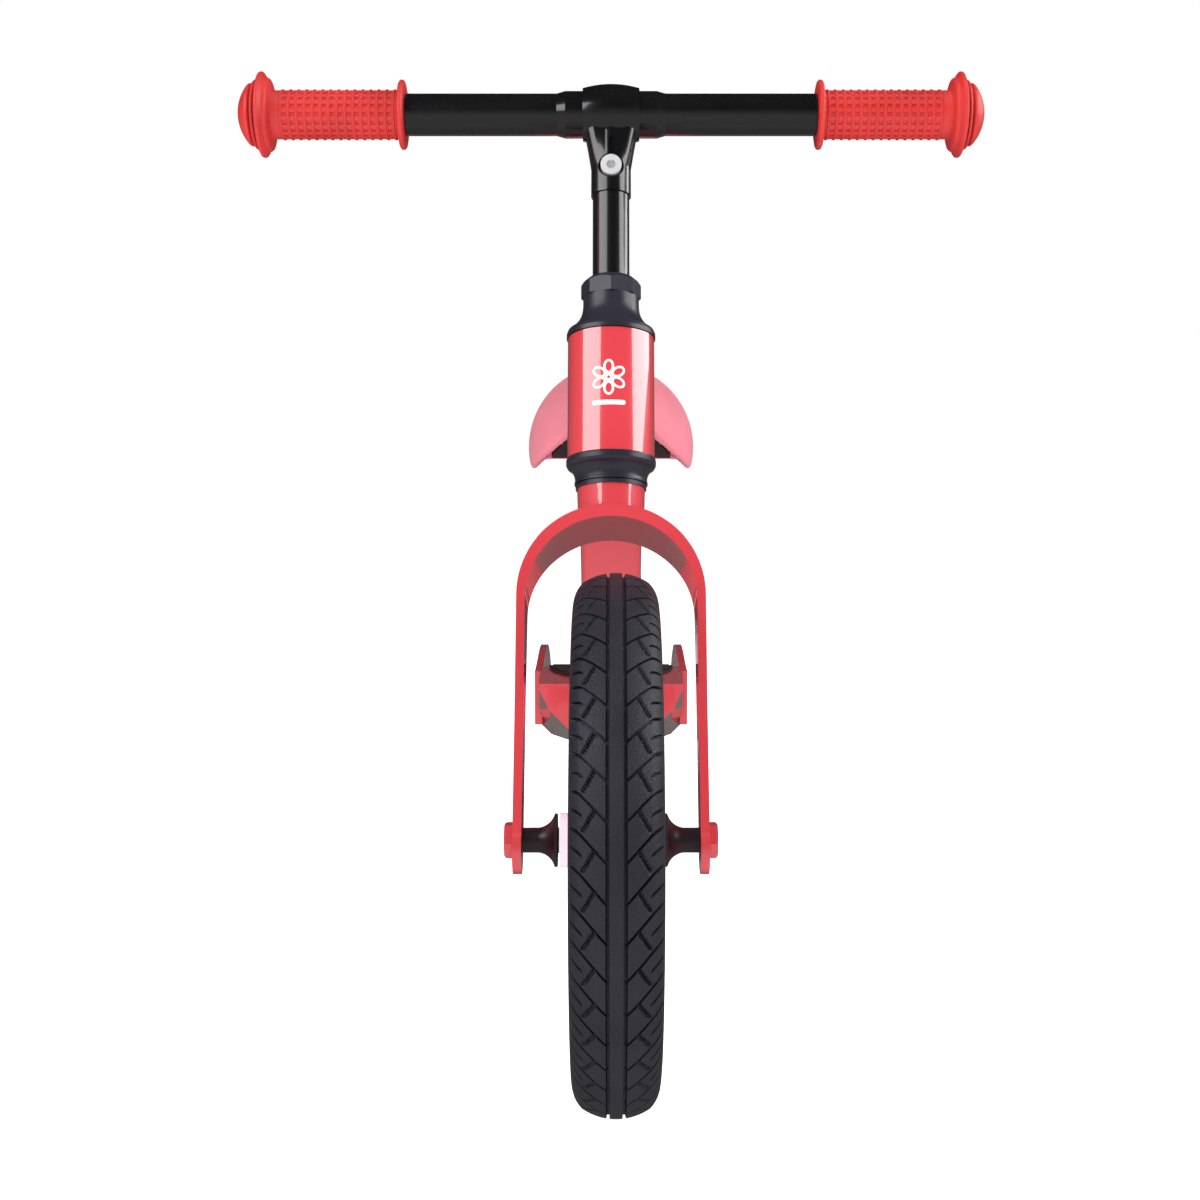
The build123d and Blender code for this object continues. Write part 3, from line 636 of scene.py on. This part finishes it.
def bar_path():
    """The line inside a round-ended bar. A stroke half the bar's thickness along it fills the bar."""
    length, thick = PRINT_BAR_SIZE
    end = length / 2 - thick / 2
    inset = thick / 4
    turn = np.linspace(-math.pi / 2, math.pi / 2, 8)
    path = [(end + inset * math.cos(a), PRINT_BAR_HEIGHT + inset * math.sin(a)) for a in turn]
    path += [(x, PRINT_BAR_HEIGHT + inset) for x in np.linspace(end, -end, 12)[1:-1]]
    path += [(-end - inset * math.cos(a), PRINT_BAR_HEIGHT - inset * math.sin(a)) for a in turn]
    path += [(x, PRINT_BAR_HEIGHT - inset) for x in np.linspace(-end, end, 12)[1:-1]]
    return path


def make_print():
    """A plain six-petalled flower over a plain bar, printed on the front of the head tube."""
    work = bmesh.new()
    for k in range(FLOWER_PETALS):
        stroke(work, petal_path(2 * math.pi * k / FLOWER_PETALS), FLOWER_STROKE)
    stroke(work, eye_path(), FLOWER_STROKE)
    stroke(work, bar_path(), PRINT_BAR_SIZE[1] / 2)
    mesh = bpy.data.meshes.new("head_tube_print")
    work.to_mesh(mesh)
    work.free()
    return finished("head_tube_print", mesh)


# ---------------------------------------------------------------- studio

def add_light(name, azimuth, elevation, distance, width, height, radiance, mirrored):
    """A soft box turned to the target."""
    data = bpy.data.lights.new(name, "AREA")
    data.shape = "RECTANGLE"
    data.size = width
    data.size_y = height
    data.energy = radiance * math.pi * width * height
    lamp = bpy.data.objects.new(name, data)
    bpy.context.collection.objects.link(lamp)
    a, e = math.radians(azimuth), math.radians(elevation)
    out = Vector((math.sin(a) * math.cos(e), -math.cos(a) * math.cos(e), math.sin(e)))
    lamp.location = LIGHT_TARGET + out * distance
    lamp.rotation_euler = out.to_track_quat("Z", "Y").to_euler()
    lamp.visible_camera = False
    lamp.visible_glossy = mirrored


def multiplied(tree, first, second):
    """The product of two node outputs."""
    node = tree.nodes.new("ShaderNodeMath")
    node.operation = "MULTIPLY"
    tree.links.new(first, node.inputs[0])
    tree.links.new(second, node.inputs[1])
    return node.outputs[0]


def fill_strength(tree, rays):
    """Strength of the backdrop's light by direction, dimmed for the rays of a reflection."""
    coords = tree.nodes.new("ShaderNodeTexCoord").outputs["Generated"]
    split = tree.nodes.new("ShaderNodeSeparateXYZ")
    tree.links.new(coords, split.inputs[0])
    upright = spread(tree, split.outputs["Z"], *FILL_BELOW_ABOVE, -0.25, 0.35)
    lengthwise = spread(tree, split.outputs["Y"], *FILL_FRONT_BACK, -0.2, 0.6)
    reflected = spread(tree, rays.outputs["Is Glossy Ray"], 1.0, FILL_REFLECTED, 0.0, 1.0)
    return multiplied(tree, multiplied(tree, upright, lengthwise), reflected)


def make_world():
    """A backdrop that looks white, and lights the object mostly from the front and below."""
    world = bpy.data.worlds.new("studio")
    bpy.context.scene.world = world
    world.use_nodes = True
    tree = world.node_tree
    tree.nodes.clear()
    seen = tree.nodes.new("ShaderNodeBackground")
    seen.inputs["Strength"].default_value = 1.0
    seen.inputs["Color"].default_value = (1.0, 1.0, 1.0, 1.0)
    fill = tree.nodes.new("ShaderNodeBackground")
    fill.inputs["Color"].default_value = FILL_COLOUR
    rays = tree.nodes.new("ShaderNodeLightPath")
    tree.links.new(fill_strength(tree, rays), fill.inputs["Strength"])
    choose = tree.nodes.new("ShaderNodeMixShader")
    out = tree.nodes.new("ShaderNodeOutputWorld")
    tree.links.new(rays.outputs["Is Camera Ray"], choose.inputs[0])
    tree.links.new(fill.outputs[0], choose.inputs[1])
    tree.links.new(seen.outputs[0], choose.inputs[2])
    tree.links.new(choose.outputs[0], out.inputs["Surface"])


def make_floor():
    """A round white floor that neither lights the object nor shows in it."""
    work = bmesh.new()
    bmesh.ops.create_circle(work, cap_ends=True, segments=96, radius=FLOOR_RADIUS)
    mesh = bpy.data.meshes.new("floor")
    work.to_mesh(mesh)
    work.free()
    floor = bpy.data.objects.new("floor", mesh)
    bpy.context.collection.objects.link(floor)
    paper = surface("floor_paper", screen(244, 244, 244), (0.85, 0.95), patch=3.0, vary=0.01,
                    Emission_Color=(1.0, 1.0, 1.0, 1.0), Emission_Strength=FLOOR_GLOW)
    floor.data.materials.append(paper)
    floor.visible_diffuse = False
    floor.visible_glossy = False


def make_camera():
    """A camera in front of the bike, turned down a little."""
    data = bpy.data.cameras.new("camera")
    data.lens = CAMERA_LENS
    data.sensor_width = CAMERA_SENSOR
    data.shift_x = CAMERA_SHIFT_X
    camera = bpy.data.objects.new("camera", data)
    camera.location = CAMERA_AT
    camera.rotation_euler = (math.radians(90 - CAMERA_PITCH), 0.0, 0.0)
    bpy.context.collection.objects.link(camera)
    bpy.context.scene.camera = camera


def make_studio():
    """The camera, the backdrop, the floor and the lights."""
    bpy.context.scene.view_settings.view_transform = "Standard"
    make_camera()
    make_world()
    make_floor()
    for light in LIGHTS:
        add_light(*light)


# ---------------------------------------------------------------- the bike

def paint_frame(frame, materials):
    """Gives every CAD node the material of its slot."""
    for part in frame["record"]["subparts"]:
        node = frame["nodes"][part["node"]]
        node.data.materials.clear()
        node.data.materials.append(materials[part["material_slot"]])


def box_centre(node):
    """The middle of a CAD node's box."""
    low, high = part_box(node)
    return tuple((low + high) / 2)


def corners(box):
    """The two corners of a box as plain lists."""
    return [list(corner) for corner in box]


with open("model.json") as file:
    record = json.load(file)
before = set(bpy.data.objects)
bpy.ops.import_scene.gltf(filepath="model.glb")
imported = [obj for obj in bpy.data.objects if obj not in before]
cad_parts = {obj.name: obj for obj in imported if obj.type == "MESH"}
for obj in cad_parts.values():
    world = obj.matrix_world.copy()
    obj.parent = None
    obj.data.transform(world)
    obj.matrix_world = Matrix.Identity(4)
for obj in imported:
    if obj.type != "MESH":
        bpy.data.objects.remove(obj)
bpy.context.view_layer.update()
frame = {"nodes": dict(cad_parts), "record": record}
materials = make_materials()
make_studio()
paint_frame(frame, materials)

for end in ("front", "rear"):
    tyre = make_tyre(f"{end}_treaded_tyre", box_centre(f"{end}_tyre"))
    dressed(tyre, materials, "tyre_rubber", f"{end}_wheel", f"{end}_tyre")

bar_centre = box_centre("handlebar_tube")
for side_name, side in (("left", 1), ("right", -1)):
    grip = make_grip(f"ribbed_grip_{side_name}", side, bar_centre)
    dressed(grip, materials, "grip_rubber", "handlebar", f"grip_{side_name}")
    pad = make_foot_pad(f"ribbed_foot_pad_{side_name}", side)
    dressed(pad, materials, "pad_rubber", "frame", f"foot_pad_{side_name}")

saddle = make_saddle_cover(frame)
dressed(saddle, materials, "saddle_skin", "saddle", "saddle_cover")

flower = make_print()
flower.data.materials.append(make_print_material())
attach(flower, "frame")
